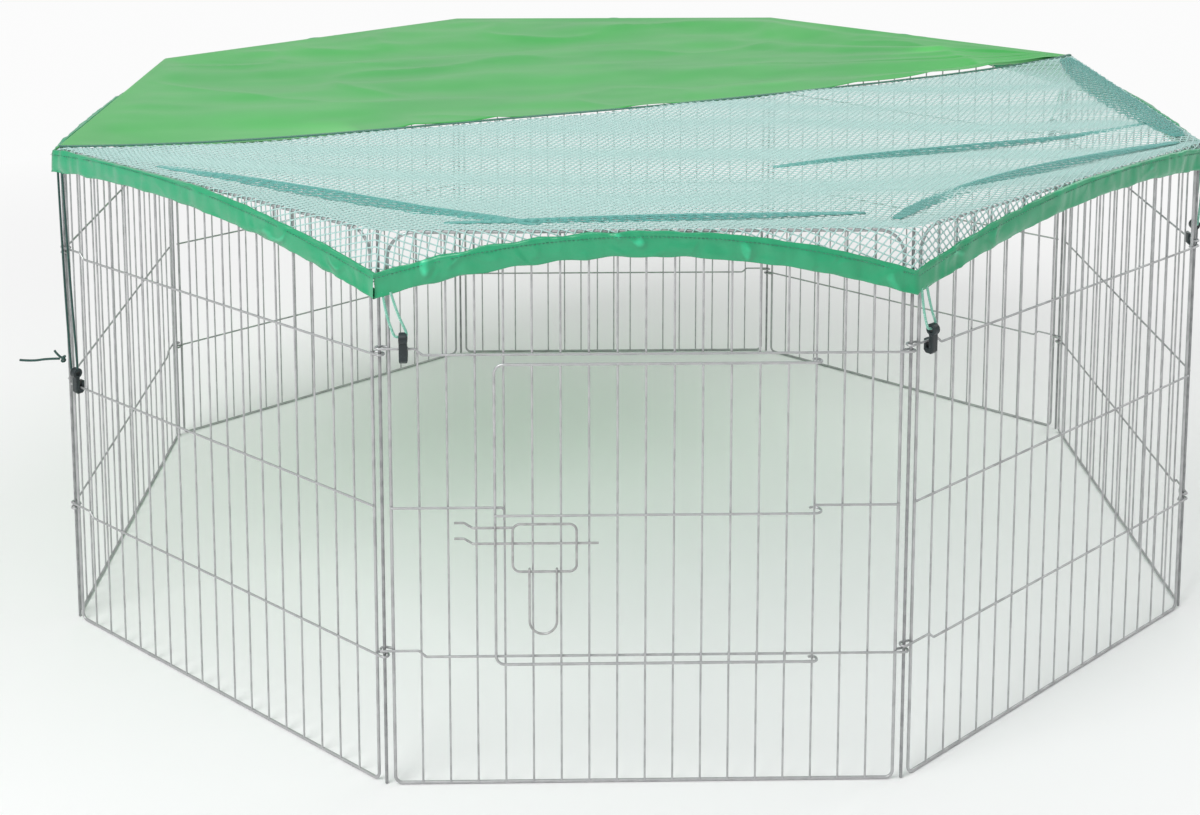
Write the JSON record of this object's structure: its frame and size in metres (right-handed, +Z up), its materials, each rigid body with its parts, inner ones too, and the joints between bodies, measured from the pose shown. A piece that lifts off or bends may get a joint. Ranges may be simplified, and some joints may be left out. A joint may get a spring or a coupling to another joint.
{
  "type": "dog run",
  "caption": "Folding wire animal run: hinged wire panels in a ring, a door with a sliding latch, and a hooked-on cover of shade cloth and net.",
  "frame": {"origin": "centre of the ring of panels, on the floor that its bottom rails stand on", "axes": "+X to the right as seen from the door side, along the door's panel; +Y from the door's panel into the pen; +Z up"},
  "size_m": [1.5247, 1.3259, 0.635],
  "materials": {
    "wire": "satin zinc",
    "hinge_rods": "satin zinc",
    "door_wire": "satin zinc",
    "latch_wire": "satin zinc",
    "hook_plastic": "moulded",
    "shade_cloth": "taffeta",
    "net": "knotted mesh",
    "hem_cloth": "taffeta",
    "cord": "braided"
  },
  "bodies": {
    "front_panel": {"front_panel_frame": "wire", "front_panel_bars": "wire", "front_panel_cross_wires": "wire", "front_panel_hinge_rod": "hinge_rods", "front_panel_cover_hook": "hook_plastic"},
    "right_front_panel": {"right_front_panel_frame": "wire", "right_front_panel_bars": "wire", "right_front_panel_cross_wires": "wire", "right_front_panel_hinge_rod": "hinge_rods", "right_front_panel_cover_hook": "hook_plastic"},
    "right_panel": {"right_panel_frame": "wire", "right_panel_bars": "wire", "right_panel_cross_wires": "wire", "right_panel_hinge_rod": "hinge_rods", "right_panel_cover_hook": "hook_plastic"},
    "right_back_panel": {"right_back_panel_frame": "wire", "right_back_panel_bars": "wire", "right_back_panel_cross_wires": "wire", "right_back_panel_hinge_rod": "hinge_rods", "right_back_panel_cover_hook": "hook_plastic"},
    "back_panel": {"back_panel_frame": "wire", "back_panel_bars": "wire", "back_panel_cross_wires": "wire", "back_panel_hinge_rod": "hinge_rods", "back_panel_cover_hook": "hook_plastic"},
    "left_back_panel": {"left_back_panel_frame": "wire", "left_back_panel_bars": "wire", "left_back_panel_cross_wires": "wire", "left_back_panel_hinge_rod": "hinge_rods", "left_back_panel_cover_hook": "hook_plastic"},
    "left_panel": {"left_panel_frame": "wire", "left_panel_bars": "wire", "left_panel_cross_wires": "wire", "left_panel_hinge_rod": "hinge_rods", "left_panel_cover_hook": "hook_plastic"},
    "left_front_panel": {"left_front_panel_frame": "wire", "left_front_panel_bars": "wire", "left_front_panel_cross_wires": "wire", "left_front_panel_hinge_rod": "hinge_rods", "left_front_panel_cover_hook": "hook_plastic"},
    "door": {"door_frame": "door_wire", "door_bars": "door_wire", "door_cross_wire": "door_wire", "latch_guides": "latch_wire"},
    "latch_bolt": {"latch_bolt": "latch_wire"},
    "latch_pull": {"latch_pull": "latch_wire"},
    "cover": {"shade_sheet": "shade_cloth", "net_sheet": "net", "shade_skirt": "shade_cloth", "net_skirt": "net", "hem": "hem_cloth", "draw_cord": "cord", "cord_loops": "cord", "cord_knot": "cord", "cord_tail": "cord"}
  },
  "joints": [
    {"name": "fold", "type": "hinge", "parent": "front_panel", "child": "right_front_panel", "pos_m": [0.285, -0.6468, 0], "axis": [0, 0, -1], "range_deg": [0, 34]},
    {"name": "right_turn", "type": "hinge", "parent": "right_front_panel", "child": "right_panel", "pos_m": [0.72546, -0.285, 0], "axis": [0, 0, -1], "range_deg": [-34, 0]},
    {"name": "right_back_turn", "type": "hinge", "parent": "right_panel", "child": "right_back_panel", "pos_m": [0.72546, 0.285, 0], "axis": [0, 0, -1], "range_deg": [-34, 0]},
    {"name": "back_turn", "type": "hinge", "parent": "right_back_panel", "child": "back_panel", "pos_m": [0.285, 0.6468, 0], "axis": [0, 0, -1], "range_deg": [0, 34]},
    {"name": "left_front_turn", "type": "hinge", "parent": "front_panel", "child": "left_front_panel", "pos_m": [-0.285, -0.6468, 0], "axis": [0, 0, -1], "range_deg": [-34, 0]},
    {"name": "left_turn", "type": "hinge", "parent": "left_front_panel", "child": "left_panel", "pos_m": [-0.72546, -0.285, 0], "axis": [0, 0, -1], "range_deg": [0, 34]},
    {"name": "left_back_turn", "type": "hinge", "parent": "left_panel", "child": "left_back_panel", "pos_m": [-0.72546, 0.285, 0], "axis": [0, 0, -1], "range_deg": [0, 34]},
    {"name": "cover_lift", "type": "slide", "parent": "front_panel", "child": "cover", "axis": [0, 0, 1], "range_m": [0, 0.6], "deforming": ["shade_skirt", "net_skirt", "hem", "draw_cord", "cord_loops", "cord_knot", "cord_tail"]},
    {"name": "door_swing", "type": "hinge", "parent": "front_panel", "child": "door", "pos_m": [0.18333, -0.64915, 0.315], "axis": [0, 0, 1], "range_deg": [0, 120]},
    {"name": "latch_slide", "type": "slide", "parent": "door", "child": "latch_bolt", "axis": [-1, 0, 0], "range_m": [0, 0.014]},
    {"name": "latch_pull_swing", "type": "hinge", "parent": "latch_bolt", "child": "latch_pull", "pos_m": [-0.11098, -0.6599, 0.253], "axis": [-1, 0, 0], "range_deg": [0, 100]}
  ],
  "couplings": [
    {"joint": "right_turn", "follows": "fold", "ratio": -1},
    {"joint": "right_back_turn", "follows": "fold", "ratio": -1},
    {"joint": "back_turn", "follows": "fold", "ratio": 1},
    {"joint": "left_front_turn", "follows": "fold", "ratio": -1},
    {"joint": "left_turn", "follows": "fold", "ratio": 1},
    {"joint": "left_back_turn", "follows": "fold", "ratio": 1},
    {"joint": "cover_lift", "follows": "fold", "m_per_rad": 1}
  ]
}
